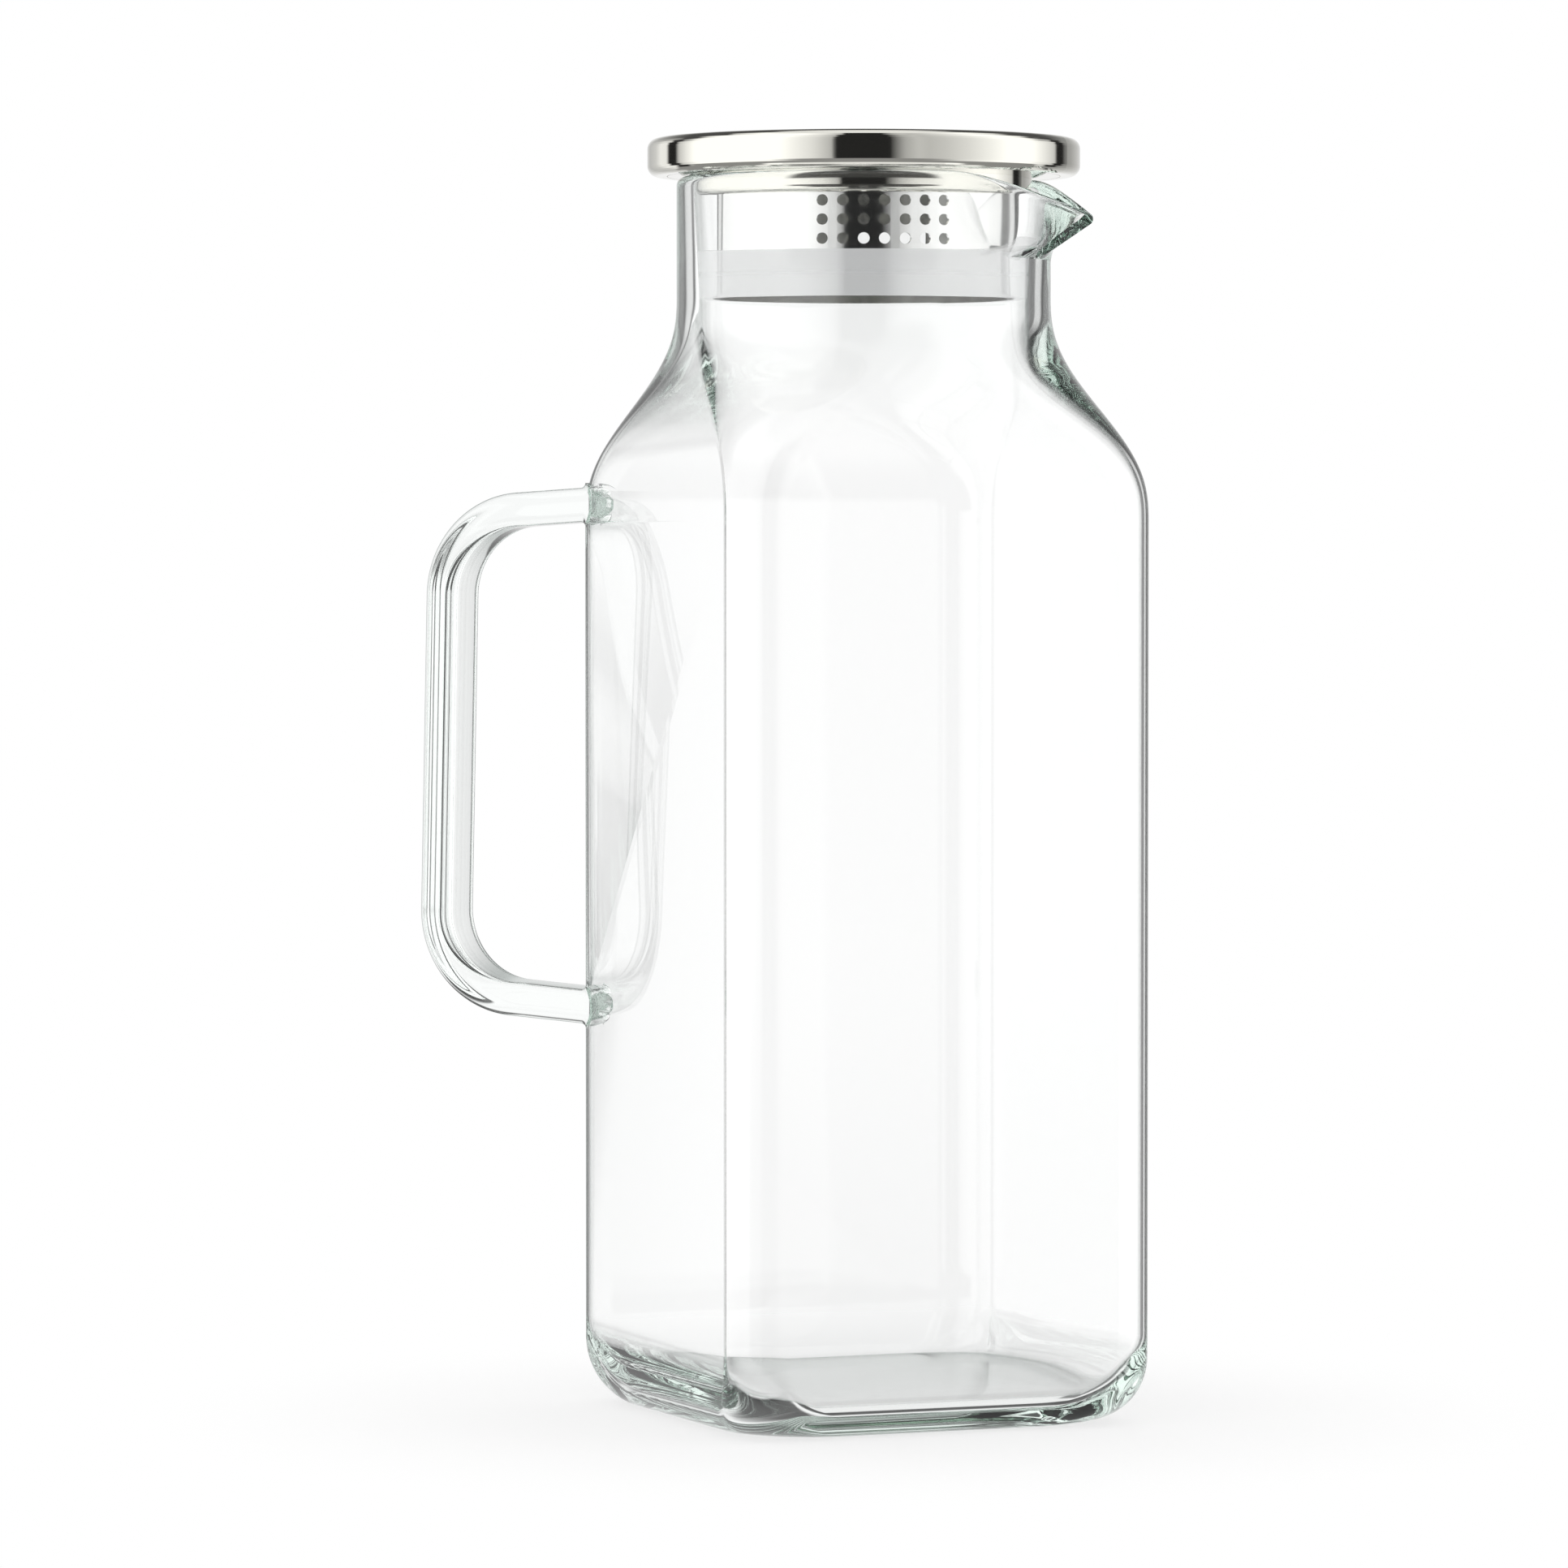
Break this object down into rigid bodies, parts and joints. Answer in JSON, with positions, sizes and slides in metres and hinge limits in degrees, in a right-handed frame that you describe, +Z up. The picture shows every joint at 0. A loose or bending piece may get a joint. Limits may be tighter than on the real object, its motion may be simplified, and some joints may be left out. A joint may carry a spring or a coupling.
{
  "type": "glass pitcher with lid",
  "caption": "Square clear-glass pitcher with a round neck, corner spout, strap handle and a steel strainer lid with a silicone seal.",
  "frame": {"origin": "centre of the foot, on the surface that the pitcher stands on", "axes": "+Z up the pitcher's axis, +X towards the spout, the handle towards -X"},
  "size_m": [0.1658, 0.128, 0.2727],
  "materials": {
    "clear_glass": "clear, fire polished",
    "handle_glass": "clear, fire polished, greenish in its thickness",
    "polished_steel": "polished stainless steel",
    "strainer_steel": "fine satin stainless steel",
    "silicone": "milky translucent silicone"
  },
  "bodies": {
    "pitcher": {"glass_body": "clear_glass", "glass_handle": "handle_glass"},
    "seal": {"seal_ring": "silicone"},
    "lid": {"lid_cap": "polished_steel", "lid_base_plate": "polished_steel", "strainer_sleeve": "strainer_steel"}
  },
  "joints": [
    {"name": "lid_lift", "type": "slide", "parent": "pitcher", "child": "seal", "axis": [0, 0, 1], "range_m": [0, 0.045]},
    {"name": "lid_turn", "type": "hinge", "parent": "seal", "child": "lid", "pos_m": [0, 0, 0.2485], "axis": [0, 0, 1], "continuous": true}
  ]
}
